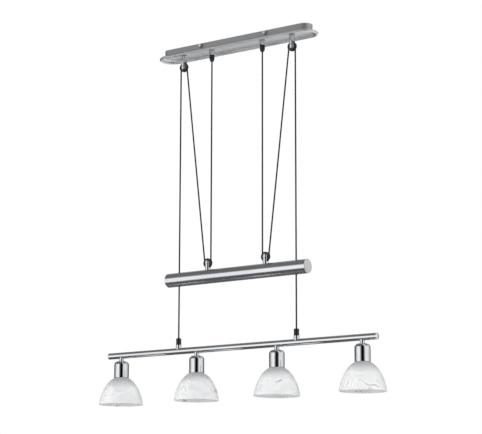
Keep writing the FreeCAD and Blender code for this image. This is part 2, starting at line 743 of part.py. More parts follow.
def lamp_cup(x):
    """A drawn cup with a rounded shoulder, open at the bottom."""
    height = CUP_TOP_Z - CUP_END_Z
    r = CUP_SHOULDER_R
    inner_r = r - CUP_WALL
    inner = CUP_R - CUP_WALL
    lean = math.sqrt(0.5)
    hole = NIPPLE_R + HOLE_PLAY
    edges = [
        line((hole, 0, 0), (CUP_R - r, 0, 0)),
        arc((CUP_R - r, 0, 0), (CUP_R - r + r * lean, 0, -r + r * lean), (CUP_R, 0, -r)),
        line((CUP_R, 0, -r), (CUP_R, 0, -height)),
        line((CUP_R, 0, -height), (inner, 0, -height)),
        line((inner, 0, -height), (inner, 0, -r)),
        arc(
            (inner, 0, -r),
            (CUP_R - r + inner_r * lean, 0, -r + inner_r * lean),
            (CUP_R - r, 0, -CUP_WALL),
        ),
        line((CUP_R - r, 0, -CUP_WALL), (hole, 0, -CUP_WALL)),
        line((hole, 0, -CUP_WALL), (hole, 0, 0)),
    ]
    return moved(turned(edges), x, 0, CUP_TOP_Z)


def lampholder(x):
    """An E14 holder: a body on the nipple, a flange that the glass is clamped to, a threaded skirt."""
    top = CUP_TOP_Z - CUP_WALL
    across, down = HOLDER_SHOULDER
    flange_top = SHADE_SEAT_Z + HOLDER_FLANGE
    nipple_r = NIPPLE_R + HOLE_PLAY
    nipple_end = top - NIPPLE_DROP
    socket_top = HOLDER_END_Z + SOCKET_DEPTH
    points = [
        (nipple_r, top),
        (HOLDER_R - across, top),
        (HOLDER_R, top - down),
        (HOLDER_R, flange_top),
        (HOLDER_FLANGE_R, flange_top),
        (HOLDER_FLANGE_R, SHADE_SEAT_Z),
        (HOLDER_SKIRT_R, SHADE_SEAT_Z),
        (HOLDER_SKIRT_R, HOLDER_END_Z + HOLDER_SKIRT_CHAMFER),
        (HOLDER_SKIRT_R - HOLDER_SKIRT_CHAMFER, HOLDER_END_Z),
        (SOCKET_R, HOLDER_END_Z),
        (SOCKET_R, socket_top),
        (0, socket_top),
        (0, nipple_end),
        (nipple_r, nipple_end),
    ]
    return moved(turned(outline(points)), x)


def shade_ring(x):
    """The ring that screws up against the glass from inside, with grip notches."""
    top = SHADE_SEAT_Z - SHADE_NECK_GLASS
    low = top - SHADE_RING_HEIGHT
    ring = upright(SHADE_RING_R, low, top)
    ring = ring.cut(upright(HOLDER_SKIRT_R + HOLE_PLAY, low - 1, top + 1))
    reach = SHADE_RING_R + SHADE_RING_NOTCH_OUT
    for i in range(SHADE_RING_NOTCHES):
        angle = 2 * math.pi * i / SHADE_RING_NOTCHES
        notch_x = reach * math.cos(angle)
        notch_y = reach * math.sin(angle)
        notch_top = top - SHADE_RING_COLLAR
        ring = ring.cut(upright(SHADE_RING_NOTCH_R, low - 1, notch_top, notch_x, notch_y))
    return moved(ring, x)


def facing(centre, radius, degrees):
    """The point at a radius from a centre, at an angle above level."""
    angle = math.radians(degrees)
    return (centre[0] + radius * math.cos(angle), 0, centre[2] + radius * math.sin(angle))


def bell_arcs(inset, top_r):
    """Three tangent arcs from the neck down to the rim, and the angle that the rim's outside faces.

    They have the same centres at every inset, so the glass is equally thick all the way.
    """
    lip = GLASS / 2
    low_centre = (BELL_R - BELL_LOW_R, 0, SHADE_RIM_Z - BELL_LOW_DROP)
    high_centre = facing(low_centre, BELL_LOW_R - BELL_HIGH_R, BELL_TURN)
    flare_centre = facing(low_centre, BELL_LOW_R + FLARE_R, FLARE_START)
    # the rim's round edge just reaches the rim's height
    rim_sine = (flare_centre[2] - lip - SHADE_RIM_Z) / (FLARE_R + lip)
    flare_end = math.degrees(math.asin(rim_sine))
    neck = math.degrees(math.acos((top_r - high_centre[0]) / (BELL_HIGH_R - inset)))
    spans = [
        (high_centre, BELL_HIGH_R - inset, neck, BELL_TURN),
        (low_centre, BELL_LOW_R - inset, BELL_TURN, FLARE_START),
        (flare_centre, -FLARE_R - inset, FLARE_START, flare_end),
    ]
    arcs = []
    for centre, radius, start, end in spans:
        ends = [facing(centre, radius, angle) for angle in (start, (start + end) / 2, end)]
        arcs.append(ends)
    return arcs, flare_end


def glass_shade(x):
    """The bell: a flat neck with the lampholder's hole, a domed wall and a full round rim."""
    outer, rim_degrees = bell_arcs(0, SHADE_NECK_R)
    inner = bell_arcs(GLASS, SHADE_RING_SEAT_R)[0]
    under = SHADE_SEAT_Z - SHADE_NECK_GLASS
    neck_side = (SHADE_NECK_R, 0, SHADE_SEAT_Z - SHADE_NECK_CHAMFER)
    neck_top = (SHADE_NECK_R - SHADE_NECK_CHAMFER, 0, SHADE_SEAT_Z)
    hole_top = (SHADE_HOLE_R, 0, SHADE_SEAT_Z)
    hole_end = (SHADE_HOLE_R, 0, under)
    ring_seat = (SHADE_RING_SEAT_R, 0, under)
    neck_foot = outer[0][0]
    inner_top = inner[0][0]
    rim_out = outer[-1][-1]
    rim_in = inner[-1][-1]
    rim_middle = ((rim_out[0] + rim_in[0]) / 2, 0, (rim_out[2] + rim_in[2]) / 2)
    rim_edge = facing(rim_middle, GLASS / 2, rim_degrees - 90)
    edges = [arc(*points) for points in outer + inner]
    edges.append(arc(rim_out, rim_edge, rim_in))
    neck = [neck_foot, neck_side, neck_top, hole_top, hole_end, ring_seat, inner_top]
    edges += [line(a, b) for a, b in zip(neck, neck[1:])]
    return moved(turned(Part.__sortEdges__(edges)), x)


# ---------------------------------------------------------------- putting it together
def canopy_nodes():
    nodes = {
        "ceiling_bracket": ceiling_bracket(),
        "canopy_housing": canopy_housing(),
        "canopy_plate": canopy_plate(),
        "canopy_side_screws": side_screws(),
        "terminal_block": terminal_block(),
        "pulley_post_nuts": plate_nuts(POST_NUT, POST_STUD_R, CANOPY_PULLEY_X),
        "gland_nuts": plate_nuts(GLAND_NUT, GLAND_TAIL_R, INNER_CABLE_X),
    }
    for name, side in SIDES.items():
        ferrule_end = PLATE_UNDER_Z - FERRULE_LENGTH
        nodes[f"canopy_post_{name}"] = canopy_post(side)
        nodes[f"canopy_gland_ferrule_{name}"] = canopy_ferrule(side)
        nodes[f"canopy_gland_body_{name}"] = gland_body(
            side * INNER_CABLE_X, ferrule_end, -1, GLAND_TIP_R, GLAND_TAPER
        )
        nodes[f"canopy_wheel_{name}"] = pulley_wheel(*wheel_axis(side, True))
        nodes.update(cable_nodes(side, name))
    axles = [pulley_axle(*wheel_axis(side, True)) for side in SIDES.values()]
    nodes["canopy_wheel_axles"] = Part.makeCompound(axles)
    return nodes


def weight_nodes(ballast_length):
    nodes = {
        "counterweight_tube": weight_tube(),
        "ballast_bar": ballast_bar(ballast_length),
    }
    for name, side in SIDES.items():
        nodes[f"counterweight_cap_{name}"] = weight_cap(side)
        nodes[f"counterweight_guide_{name}"] = cable_guide(side)
        nodes[f"counterweight_post_{name}"] = weight_post(side)
        nodes[f"counterweight_wheel_{name}"] = pulley_wheel(*wheel_axis(side, False))
    axles = [pulley_axle(*wheel_axis(side, False)) for side in SIDES.values()]
    nodes["counterweight_wheel_axles"] = Part.makeCompound(axles)
    return nodes


def bar_nodes():
    nodes = {
        "lamp_bar_tube": bar_tube(),
        "lamp_necks": Part.makeCompound([lamp_neck(x) for x in LAMP_X]),
        "shade_rings": Part.makeCompound([shade_ring(x) for x in LAMP_X]),
    }
    for name, side in SIDES.items():
        foot_end = BAR_TOP_Z + FOOT_LENGTH
        nodes[f"lamp_bar_cap_{name}"] = bar_cap(side)
        nodes[f"lamp_gland_foot_{name}"] = bar_foot(side)
        nodes[f"lamp_gland_body_{name}"] = gland_body(
            side * OUTER_CABLE_X, foot_end, 1, BAR_GLAND_TIP_R, BAR_GLAND_TAPER
        )
    for number, x in enumerate(LAMP_X, start=1):
        nodes[f"lamp_cup_{number}"] = lamp_cup(x)
        nodes[f"lampholder_{number}"] = lampholder(x)
        nodes[f"glass_shade_{number}"] = glass_shade(x)
    return nodes


def density(name):
    """Grams per cubic millimetre of a node's material."""
    if name.startswith("glass_shade"):
        return GLASS_DENSITY
    if name.endswith(("wheel_left", "wheel_right")):
        return PLASTIC
    if any(word in name for word in ("lampholder", "guide", "gland_body", "shade_rings")):
        return PLASTIC
    return STEEL


def mass(nodes):
    return sum(shape.Volume * density(name) for name, shape in nodes.items())


def balanced_weight(bar):
    """The counterweight hangs on two falls of each cable, so it weighs twice the lamp bar."""
    target = 2 * mass(bar)
    trial_length = 200.0
    trial = mass(weight_nodes(trial_length))
    per_mm = math.pi * BALLAST_R ** 2 * STEEL
    length = trial_length + (target - trial) / per_mm
    print(f"lamp bar {target / 2:.0f} g, so the counterweight is {target:.0f} g")
    print(f"ballast {length:.1f} mm long")
    return weight_nodes(length)


def main():
    os.makedirs("parts", exist_ok=True)
    bar = bar_nodes()
    nodes = {**canopy_nodes(), **balanced_weight(bar), **bar}
    for name, shape in nodes.items():
        if not shape.isValid():
            print("not valid:", name)
        shape.exportStep(f"parts/{name}.step")
    print(len(nodes), "nodes")


main()
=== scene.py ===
# %% [markdown]
# # A rise and fall pendant
# Four glass shades hang on a bar. The bar hangs on two cables that run over pulleys, and a heavy tube
# between them balances it, so the light stays at any height. Its shapes come from a CAD model.
# This file gives them their finishes, makes the cables and the small parts that CAD leaves out,
# and sets up the studio. All sizes are in metres, and the ceiling is at height 0.

import json
import math

import bmesh
import bpy
from mathutils import Euler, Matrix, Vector


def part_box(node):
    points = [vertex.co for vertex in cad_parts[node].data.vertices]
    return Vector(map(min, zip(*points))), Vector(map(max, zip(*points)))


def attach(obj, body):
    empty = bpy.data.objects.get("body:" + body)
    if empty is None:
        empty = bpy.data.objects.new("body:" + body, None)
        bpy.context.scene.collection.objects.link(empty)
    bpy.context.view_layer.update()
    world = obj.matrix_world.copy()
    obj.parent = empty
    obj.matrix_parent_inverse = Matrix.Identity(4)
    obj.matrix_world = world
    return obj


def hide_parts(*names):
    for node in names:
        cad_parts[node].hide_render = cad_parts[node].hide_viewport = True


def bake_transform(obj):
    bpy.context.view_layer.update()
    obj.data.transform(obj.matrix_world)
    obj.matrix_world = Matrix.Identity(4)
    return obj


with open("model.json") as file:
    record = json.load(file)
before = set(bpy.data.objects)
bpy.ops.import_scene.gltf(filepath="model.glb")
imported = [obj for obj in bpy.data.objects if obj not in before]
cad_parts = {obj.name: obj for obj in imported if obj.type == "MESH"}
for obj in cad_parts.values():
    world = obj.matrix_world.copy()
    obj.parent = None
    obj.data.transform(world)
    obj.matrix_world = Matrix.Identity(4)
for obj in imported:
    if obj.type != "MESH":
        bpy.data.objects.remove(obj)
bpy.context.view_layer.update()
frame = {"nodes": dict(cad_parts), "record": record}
bpy.context.scene.view_settings.view_transform = "Standard"

# %% [markdown]
# ## The camera
# A photograph is matched in this order: how far away the camera stood, which way it looked, and how
# long its lens was. The lens is long here, so the bar's far end is only a little smaller than its
# near end. The camera stands low, to the right of the middle, and looks slightly up. A constraint
# could aim it at the object, but angles are set here instead, because they allow a slight roll too.

# %% The camera
PHOTO_WIDTH = 482
SENSOR = 36.0                   # mm
FOCAL_PIXELS = 1660.75          # the lens's focal length, in pixels of the photograph
CAMERA_TURN = math.radians(34.648)
CAMERA_TILT = math.radians(10.992)
CAMERA_ROLL = math.radians(0.117)
CAMERA_DISTANCE = 4.04406
CAMERA_ASIDE = 0.01118
CAMERA_HEIGHT = -1.24522

across = Vector((math.cos(CAMERA_TURN), math.sin(CAMERA_TURN), 0))
ahead = Vector((-math.sin(CAMERA_TURN), math.cos(CAMERA_TURN), 0))
up = Vector((0, 0, 1))
line_of_sight = ahead * math.cos(CAMERA_TILT) + up * math.sin(CAMERA_TILT)
lens = bpy.data.cameras.new("camera")
lens.sensor_fit = "HORIZONTAL"
lens.sensor_width = SENSOR
lens.lens = FOCAL_PIXELS / PHOTO_WIDTH * SENSOR
camera = bpy.data.objects.new("camera", lens)
bpy.context.scene.collection.objects.link(camera)
camera.location = across * CAMERA_ASIDE + up * CAMERA_HEIGHT - ahead * CAMERA_DISTANCE
camera.rotation_mode = "QUATERNION"
level = line_of_sight.to_track_quat("-Z", "Y")
camera.rotation_quaternion = level @ Euler((0, 0, CAMERA_ROLL)).to_quaternion()
bpy.context.scene.camera = camera
print(f"lens {lens.lens:.0f} mm, {CAMERA_DISTANCE:.2f} m away")

# %% [markdown]
# ## The cables
# Each side hangs on one cable, 3.8 mm thick. It leaves a gland under the canopy, goes down round a
# pulley on the counterweight, up over a pulley under the canopy, and down to the lamp bar. It is
# always taut, so its line is straight except on the two pulleys. Its route could be drawn by hand,
# but the pulleys' places fix it: a NURBS spline follows the corners of a shape drawn round each
# pulley, which gives round bends with smooth ends.

# %% The cables' route
CABLE_R = 0.0019
PITCH_R = 0.0092                # from a wheel's axis to the middle of the cable
CANOPY_WHEEL = (0.1661, -0.0486)    # (x, z) of the right-hand wheel's axis
WEIGHT_WHEEL = (0.0867, -0.5675)
INNER_CABLE_X = 0.0775
OUTER_CABLE_X = 0.1753
GLAND_POCKET_Z = -0.0367        # the cable's end, inside the canopy gland
BAR_POCKET_Z = -0.7605          # and inside the gland on the lamp bar
WRAP_STEPS = 4                  # sides of the shape drawn round a pulley
SIDES = {"left": -1, "right": 1}


def diagonal_lean():
    """The diagonal run's angle from upright: it crosses from one wheel's inner side to the other's outer."""
    run_x = WEIGHT_WHEEL[0] - CANOPY_WHEEL[0]
    run_z = WEIGHT_WHEEL[1] - CANOPY_WHEEL[1]
    crossing = math.asin(2 * PITCH_R / math.hypot(run_x, run_z))
    return math.atan2(-run_x, -run_z) - crossing


def round_wheel(wheel, start, sweep):
    """Corners of the shape that touches a wheel's pitch circle, and a point on the run at each side."""
    half = sweep / WRAP_STEPS / 2
    reach = PITCH_R / math.cos(half)
    angles = [start + half * (2 * i + 1) for i in range(-1, WRAP_STEPS + 1)]
    return [(wheel[0] + reach * math.cos(a), wheel[1] + reach * math.sin(a)) for a in angles]


def cable_route():
    """The right-hand cable's (x, z) points from the canopy gland to the outer side of the top wheel."""
    wrap = math.pi - diagonal_lean()
    below = round_wheel(WEIGHT_WHEEL, math.pi, wrap)
    above = round_wheel(CANOPY_WHEEL, wrap, -wrap)
    return [(INNER_CABLE_X, GLAND_POCKET_Z), *below, *above[:-1], (OUTER_CABLE_X, CANOPY_WHEEL[1])]


print(f"the diagonal run leans {math.degrees(diagonal_lean()):.1f} degrees")

# %% [markdown]
# ### A tube along a spline
# Blender can give a curve a round bevel, which makes a tube at once. Its rings would then stand all
# along the straight runs too, and those runs would bow when the counterweight moves. So the tube is
# built ring by ring, and a straight run has rings at its two ends alone. That keeps it straight.

# %% From a spline to a line that turns
SPLINE_STEPS = 10               # points from one control point to the next
STRAIGHT = math.radians(0.02)   # a turn that is smaller than this counts as none


def spline_points(route):
    """Points along the NURBS spline that has the route's points as its control points."""
    curve = bpy.data.curves.new("route", "CURVE")
    curve.dimensions = "3D"
    curve.resolution_u = SPLINE_STEPS
    spline = curve.splines.new("NURBS")
    spline.points.add(len(route) - 1)
    for point, (x, z) in zip(spline.points, route):
        point.co = (x, 0, z, 1)
    spline.order_u = 3
    spline.use_endpoint_u = True
    holder = bpy.data.objects.new("route", curve)
    mesh = bpy.data.meshes.new_from_object(holder)
    points = [vertex.co.copy() for vertex in mesh.vertices]
    bpy.data.meshes.remove(mesh)
    bpy.data.objects.remove(holder)
    bpy.data.curves.remove(curve)
    return points


def without_straights(points):
    """The points at which the line turns, and its two ends."""
    kept = [points[0]]
    for point, following in zip(points[1:], points[2:]):
        if (point - kept[-1]).angle(following - point) > STRAIGHT:
            kept.append(point)
    return kept + [points[-1]]


right_path = without_straights(spline_points(cable_route()))
print(f"the upper stretch turns at {len(right_path) - 2} places")

# %% The tube itself
RING_SIDES = 20


def tube(name, path):
    """A closed tube along a path in the XZ plane, with a UV map: once round, and metres along."""
    mesh = bmesh.new()
    uv = mesh.loops.layers.uv.new("along")
    rings, distances = [], []
    for i, point in enumerate(path):
        before = path[max(i - 1, 0)]
        after = path[min(i + 1, len(path) - 1)]
        tangent = ((after - point).normalized() + (point - before).normalized()).normalized()
        side = Vector((0, 1, 0))
        out = tangent.cross(side)
        angles = [2 * math.pi * k / RING_SIDES for k in range(RING_SIDES)]
        ring = [point + CABLE_R * (math.cos(a) * side + math.sin(a) * out) for a in angles]
        rings.append([mesh.verts.new(place) for place in ring])
        distances.append(distances[-1] + (point - before).length if i else 0.0)
    for i in range(len(rings) - 1):
        for k in range(RING_SIDES):
            following = (k + 1) % RING_SIDES
            corners = (rings[i][k], rings[i][following], rings[i + 1][following], rings[i + 1][k])
            face = mesh.faces.new(corners)
            face.smooth = True
            for loop, (turn, at) in zip(face.loops, ((k, i), (k + 1, i), (k + 1, i + 1), (k, i + 1))):
                loop[uv].uv = (turn / RING_SIDES, distances[at])
    mesh.faces.new(rings[0])
    mesh.faces.new(rings[-1])
    bmesh.ops.recalc_face_normals(mesh, faces=mesh.faces)
    data = bpy.data.meshes.new(name)
    mesh.to_mesh(data)
    mesh.free()
    piece = bpy.data.objects.new(name, data)
    bpy.context.scene.collection.objects.link(piece)
    return piece, distances[-1]


print(f"each ring has {RING_SIDES} corners")

# %% [markdown]
# ### Four stretches of cable
# A cable's upper part stretches between the canopy and the counterweight, and its lower part between
# the canopy and the lamp bar. One tube can be blended between two bodies only, so each cable is two
# tubes that meet at the outer side of the canopy's wheel, where the cable turns upright.

cables = []
for name, side in SIDES.items():
    exit_point = (side * OUTER_CABLE_X, 0, CANOPY_WHEEL[1])
    bar_end = (side * OUTER_CABLE_X, 0, BAR_POCKET_Z)

    route = [(side * x, z) for x, z in cable_route()]
    path = without_straights(spline_points(route))
    upper, length = tube(f"cable_{name}_over_pulleys", path)
    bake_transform(upper)
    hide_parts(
        f"cable_{name}_inner_run",
        f"cable_{name}_counterweight_bend",
        f"cable_{name}_diagonal_run",
        f"cable_{name}_canopy_bend",
    )

    ends = [Vector(exit_point), Vector(bar_end)]
    lower, run = tube(f"cable_{name}_to_lamp_bar", ends)
    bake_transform(lower)
    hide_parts(f"cable_{name}_lamp_run")
    cables += [upper, lower]
    print(f"{name} cable: {length:.3f} m over the pulleys, {run:.3f} m down to the lamp bar")

# %% [markdown]
# ## Colours and nodes
# A colour is picked from a screen as a hex value, which is sRGB. Blender's shaders count in linear
# light, so one function turns each value over. Another adds a node with its settings and its links,
# which keeps every finish below short enough to read at a glance. A colour ramp's stops can't be
# given as settings, so a third function sets those.

# %% Helpers for colours and nodes


def linear(hex_colour):
    """Blender's linear colour for an sRGB hex value."""
    channels = [int(hex_colour[i:i + 2], 16) / 255 for i in (1, 3, 5)]
    curve = [c / 12.92 if c <= 0.04045 else ((c + 0.055) / 1.055) ** 2.4 for c in channels]
    return (*curve, 1.0)


def add(tree, kind, inputs=None, **settings):
    """A node with its settings made. Each input gets a value, or a link where it is given a socket."""
    node = tree.nodes.new(kind)
    for name, value in settings.items():
        setattr(node, name, value)
    for name, value in (inputs or {}).items():
        if isinstance(value, bpy.types.NodeSocket):
            tree.links.new(value, node.inputs[name])
        else:
            node.inputs[name].default_value = value
    return node


def set_stops(node, stops):
    """Give a colour ramp its (place, linear colour) stops with smooth steps, and return its colour."""
    ramp = node.color_ramp
    ramp.interpolation = "EASE"
    while len(ramp.elements) < len(stops):
        ramp.elements.new(0.5)
    for element, (place, colour) in zip(ramp.elements, stops):
        element.position = place
        element.color = colour
    return node.outputs["Color"]


print("middle grey in linear light:", round(linear("#808080")[0], 3))

# %% [markdown]
# ## What every finish shares
# No real surface has one flat colour. Each finish here starts from one Principled shader, and a
# pattern of noise varies its colour, its roughness and its relief a little. A photograph of the
# surface could do that too, but noise needs no file, and its grain can be given in real lengths.

# %% Helpers for finishes
NOISE_LOW = 0.3                 # noise seldom goes below this
NOISE_HIGH = 0.7                # or above this


def finish(name, **constants):
    """A material with one Principled shader, its constants set on the shader's own sockets."""
    material = bpy.data.materials.new(name)
    material.use_nodes = True
    tree = material.node_tree
    tree.nodes.clear()
    shader = add(tree, "ShaderNodeBsdfPrincipled")
    for socket, value in constants.items():
        shader.inputs[socket.replace("_", " ")].default_value = value
    add(tree, "ShaderNodeOutputMaterial", {"Surface": shader.outputs["BSDF"]})
    return material, tree, shader


def grain(tree, size, detail=3.0, distortion=0.0):
    """Noise on the piece's own coordinates; size is the grain's length along X, Y and Z in metres."""
    place = add(tree, "ShaderNodeTexCoord").outputs["Object"]
    scale = tuple(1 / length for length in size)
    scaled = add(tree, "ShaderNodeMapping", {"Vector": place, "Scale": scale})
    settings = {"Vector": scaled.outputs["Vector"], "Scale": 1.0, "Detail": detail}
    return add(tree, "ShaderNodeTexNoise", {**settings, "Distortion": distortion}).outputs["Fac"]


def two_tones(dark, light):
    """A ramp's stops for noise: one hex colour where it is low, and another where it is high."""
    return [(NOISE_LOW, linear(dark)), (NOISE_HIGH, linear(light))]


def surface(tree, shader, colour, texture, smooth, rough, depth=0.0):
    """Link the colour. The texture varies the roughness, and raises relief where it has a depth."""
    tree.links.new(colour, shader.inputs["Base Color"])
    polish = add(tree, "ShaderNodeMapRange", {
        "Value": texture, "From Min": NOISE_LOW, "From Max": NOISE_HIGH, "To Min": smooth, "To Max": rough,
    })
    tree.links.new(polish.outputs["Result"], shader.inputs["Roughness"])
    if depth > 0:
        relief = add(tree, "ShaderNodeBump", {"Height": texture, "Distance": depth, "Strength": 1.0})
        tree.links.new(relief.outputs["Normal"], shader.inputs["Normal"])


print(f"noise is used from {NOISE_LOW} to {NOISE_HIGH}")

# %% [markdown]
# ## Satin nickel
# The counterweight, the lamp bar and the canopy are steel with a satin nickel plating. The metal is
# ground along its length before it is plated. To the eye that gives one broad highlight along a
# tube, with darker metal above and below it. The lamp bar is ground finer than the counterweight, so
# it is glossier. The canopy is nearly matt. Its housing's wall gets a darker copy of the plate's
# nickel, which is painted shade on the wall. A shader can stretch its highlight by itself, but noise
# drawn out along X shows the lines as well. Real lines are 0.1 to 0.2 mm apart. They are drawn 0.4
# to 1.2 mm wide, because finer ones don't show.

# %% Satin nickel
GRINDING_LENGTH = 0.08
NICKEL_CLOUD = (0.12, 0.05, 0.05)


def satin_nickel(name, dark, light, smooth, rough, line_width, line_depth):
    """Ground and plated metal, its grinding lines along X."""
    material, tree, shader = finish(name, Metallic=1.0)
    lines = grain(tree, (GRINDING_LENGTH, line_width, line_width), detail=4.0)
    clouds = grain(tree, NICKEL_CLOUD, detail=1.0)
    colour = set_stops(add(tree, "ShaderNodeValToRGB", {"Fac": clouds}), two_tones(dark, light))
    surface(tree, shader, colour, lines, smooth, rough, line_depth)
    print(f"{name}: roughness {smooth} to {rough}")
    return material


tube_nickel = satin_nickel(
    "satin_nickel_tube", dark="#D4D6D9", light="#DCDEE0", smooth=0.19, rough=0.25,
    line_width=0.0006, line_depth=0.0000015,
)
bar_nickel = satin_nickel(
    "fine_satin_nickel_bar", dark="#D8DADD", light="#E0E2E4", smooth=0.12, rough=0.16,
    line_width=0.0004, line_depth=0.0000005,
)
plate_nickel = satin_nickel(
    "matt_nickel_plate", dark="#D8DADC", light="#DEE0E1", smooth=0.56, rough=0.60,
    line_width=0.0012, line_depth=0.0000004,
)
# A darker copy of the plate's nickel for the housing's wall: painted shade, not a different plating.
housing_nickel_painted_shade = satin_nickel(
    "matt_nickel_housing_painted_shade", dark="#B0B2B4", light="#B6B8BA", smooth=0.58, rough=0.64,
    line_width=0.0012, line_depth=0.0000004,
)

# %% [markdown]
# ## Chrome
# Posts, gland sleeves, necks, cups and side screws are bright chrome plate on turned brass or drawn
# steel. Chrome is slightly blue, and so smooth that it shows the room: a pale band for each bright
# wall and a black one for each dark gap. A perfect mirror would be simpler, but it looks too clean,
# so faint clouds vary its colour and roughness, as fingers and dust do on the real one.

# %% Chrome plate
CHROME_CLOUD = 0.012

chrome, tree, shader = finish("chrome_plate", Metallic=1.0)
clouds = grain(tree, (CHROME_CLOUD, CHROME_CLOUD, CHROME_CLOUD), detail=2.0)
colour = set_stops(add(tree, "ShaderNodeValToRGB", {"Fac": clouds}), two_tones("#D0D2D6", "#D9DBDE"))
surface(tree, shader, colour, clouds, smooth=0.035, rough=0.075)
print(f"{chrome.name}: clouds of {CHROME_CLOUD * 1000:.0f} mm")

# %% [markdown]
# ## Zinc plate
# The bracket, the nuts, the ballast bar and the axles are bright zinc on steel: a cold grey with the
# cloudy patches that zinc takes in its bath, and with less polish than nickel. One noise can make
# the colour, the polish and the relief, because on the real plate all three change with the patches.

# %% Zinc plate
ZINC_PATCH = 0.007
ZINC_RELIEF = 0.00002

zinc, tree, shader = finish("bright_zinc_plate", Metallic=1.0)
patches = grain(tree, (ZINC_PATCH, ZINC_PATCH, ZINC_PATCH), detail=4.0, distortion=0.6)
stops = [(0.35, linear("#A4A8AD")), (0.65, linear("#C0C4C8"))]
colour = set_stops(add(tree, "ShaderNodeValToRGB", {"Fac": patches}), stops)
surface(tree, shader, colour, patches, smooth=0.30, rough=0.46, depth=ZINC_RELIEF)
print(f"{zinc.name}: patches of {ZINC_PATCH * 1000:.0f} mm")

# %% [markdown]
# ## Plastics
# Wheels, glands and guides are black polyamide. A moulding has a fine eroded texture that scatters
# light, so a black one looks dark grey where light grazes it. The lampholders are a pale glossy
# thermoplastic, and the terminal block is milky polyamide. The texture could be cut into the mesh,
# but it is far too fine for that, so it is relief in the material. Its real pits are about 0.1 mm
# wide. They are drawn 0.6 to 1.5 mm wide, so that they show.

# %% Plastics


def moulded(name, dark, light, smooth, rough, pit, depth):
    """A moulded plastic; pit is the width of its texture's pits."""
    material, tree, shader = finish(name, IOR=1.5)
    pits = grain(tree, (pit, pit, pit), detail=3.0)
    colour = set_stops(add(tree, "ShaderNodeValToRGB", {"Fac": pits}), two_tones(dark, light))
    surface(tree, shader, colour, pits, smooth, rough, depth)
    print(f"{name}: roughness {smooth} to {rough}")
    return material


black_polyamide = moulded(
    "moulded_black_polyamide", dark="#121314", light="#1A1B1C", smooth=0.34, rough=0.48,
    pit=0.0006, depth=0.00003,
)
gland_polyamide = moulded(
    "glossy_black_polyamide", dark="#0F1011", light="#151617", smooth=0.20, rough=0.30,
    pit=0.0012, depth=0.00001,
)
holder_plastic = moulded(
    "white_thermoplastic", dark="#E6E3DA", light="#EEECE4", smooth=0.24, rough=0.34,
    pit=0.0015, depth=0.00001,
)
block_plastic = moulded(
    "milky_polyamide", dark="#DAD6C8", light="#E4E1D5", smooth=0.40, rough=0.50,
    pit=0.0010, depth=0.00002,
)

# %% [markdown]
# ### The cable's sheath
# The cables have a black PVC sheath, drawn smooth, with faint lines along it from the extruder's
# nozzle. Noise on the object's coordinates would cut across the bends, so this one reads the tube's
# own map, which goes once round and counts metres along. The real lines are finer than 0.1 mm. They
# are drawn 0.5 mm wide, so that they show.

# %% The cable's sheath
NOZZLE_LINES = 24               # round the cable
LINE_LENGTH = 0.025
LINE_DEPTH = 0.00003

sheath, tree, shader = finish("black_pvc_sheath", IOR=1.53)
spread = add(tree, "ShaderNodeUVMap", uv_map="along").outputs["UV"]
drawn = add(tree, "ShaderNodeMapping", {"Vector": spread, "Scale": (NOZZLE_LINES, 1 / LINE_LENGTH, 1)})
settings = {"Vector": drawn.outputs["Vector"], "Scale": 1.0, "Detail": 2.0}
lines = add(tree, "ShaderNodeTexNoise", settings).outputs["Fac"]
colour = set_stops(add(tree, "ShaderNodeValToRGB", {"Fac": lines}), two_tones("#0A0D0C", "#131716"))
surface(tree, shader, colour, lines, smooth=0.45, rough=0.58, depth=LINE_DEPTH)
print(f"{sheath.name}: lines {2 * math.pi * CABLE_R / NOZZLE_LINES * 1000:.1f} mm wide")

# %% [markdown]
# ## Alabaster glass
# The shades are blown in two layers: clear glass, with white glass laid in it in swirls. The outside
# is satin, so there is no sharp highlight. Light goes in, scatters and comes out a few millimetres
# further on, which makes the edges glow. Real layers of glass would take very long to render, so one
# shader with scattering stands for both. The swirls are noise bent by its own distortion: where it
# crosses its middle value, a thin vein shows, and a slower noise makes some regions whiter. At the
# neck the lampholder stands inside and shuts out the light. That shade is painted into the glass's
# colour as a grey that fades out downwards.

# %% The glass's veins
SWIRL = 0.040                   # length of one swirl
SWIRL_HEIGHT = 0.8 * SWIRL
REGION = 1.6 * SWIRL            # length of a region in which the veins show
REGION_FROM = 0.42              # the slow noise's value where such a region starts
REGION_TO = 0.60                # and where its veins show in full
VEINS = [
    (0.36, "#DFE2E4"), (0.45, "#FFFFFF"), (0.475, "#B2B7BB"),
    (0.50, "#FFFFFF"), (0.56, "#F4F6F6"), (0.66, "#DEE1E3"),
]
PLAIN_GLASS = [(0.35, "#EDEFF0"), (0.60, "#FCFDFD")]
FAINTEST = 0.10                 # how much of the veins shows outside such a region
STRONGEST = 0.85                # and inside it

alabaster, tree, shader = finish(
    "satin_alabaster_glass", IOR=1.5, Subsurface_Weight=0.45, Subsurface_Scale=0.006,
    Subsurface_Radius=(1.0, 1.0, 1.0),
)
swirls = grain(tree, (SWIRL, SWIRL, SWIRL_HEIGHT), detail=0.6, distortion=0.9)
regions = grain(tree, (REGION, REGION, SWIRL), detail=2.0, distortion=0.8)
stops = [(place, linear(colour)) for place, colour in VEINS]
veins = set_stops(add(tree, "ShaderNodeValToRGB", {"Fac": swirls}), stops)
stops = [(place, linear(colour)) for place, colour in PLAIN_GLASS]
plain = set_stops(add(tree, "ShaderNodeValToRGB", {"Fac": regions}), stops)
strength = add(tree, "ShaderNodeMapRange", {
    "Value": regions, "From Min": REGION_FROM, "From Max": REGION_TO,
    "To Min": FAINTEST, "To Max": STRONGEST,
})
veined = add(tree, "ShaderNodeMix", {
    "Factor": strength.outputs["Result"], "A": plain, "B": veins,
}, data_type="RGBA").outputs["Result"]
print(f"{alabaster.name}: swirls of {SWIRL * 1000:.0f} mm, {len(VEINS)} shades in a vein")
